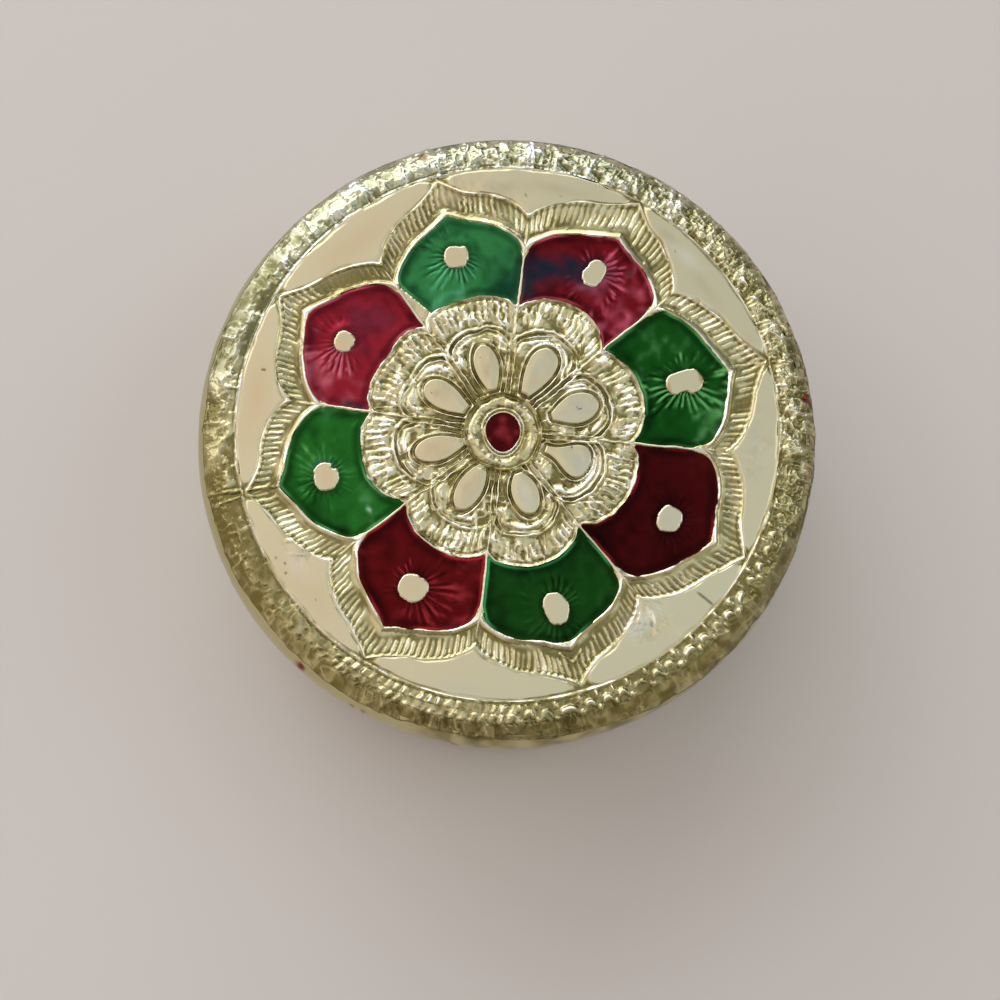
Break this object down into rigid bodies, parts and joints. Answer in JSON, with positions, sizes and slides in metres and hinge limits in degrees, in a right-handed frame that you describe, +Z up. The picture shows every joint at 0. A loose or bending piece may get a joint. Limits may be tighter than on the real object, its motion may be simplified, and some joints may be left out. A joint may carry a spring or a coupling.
{
  "type": "trinket box",
  "caption": "Round lidded trinket box, foil-covered, with a lift-off lid embossed with a lotus and inlaid with red and green enamel.",
  "frame": {"origin": "centre of the flat underside", "axes": "+Z up through the lid, -Y the side nearest the viewer, +X to the viewer's right"},
  "size_m": [0.076, 0.076, 0.0361],
  "materials": {
    "wood": "turned, unpolished",
    "gold_foil": "thin pale-gold foil, embossed, glossy",
    "red_enamel": "translucent lacquer enamel, glossy",
    "green_enamel": "translucent lacquer enamel, glossy"
  },
  "bodies": {
    "root": {"base": "wood", "base_foil_band": "gold_foil", "lid": "wood", "lid_foil_band": "gold_foil", "lid_foil_sheet": "gold_foil", "enamel_green_1": "green_enamel", "enamel_green_2": "green_enamel", "enamel_green_3": "green_enamel", "enamel_green_4": "green_enamel", "enamel_red_1": "red_enamel", "enamel_red_2": "red_enamel", "enamel_red_3": "red_enamel", "enamel_red_4": "red_enamel", "enamel_centre": "red_enamel"}
  },
  "joints": []
}
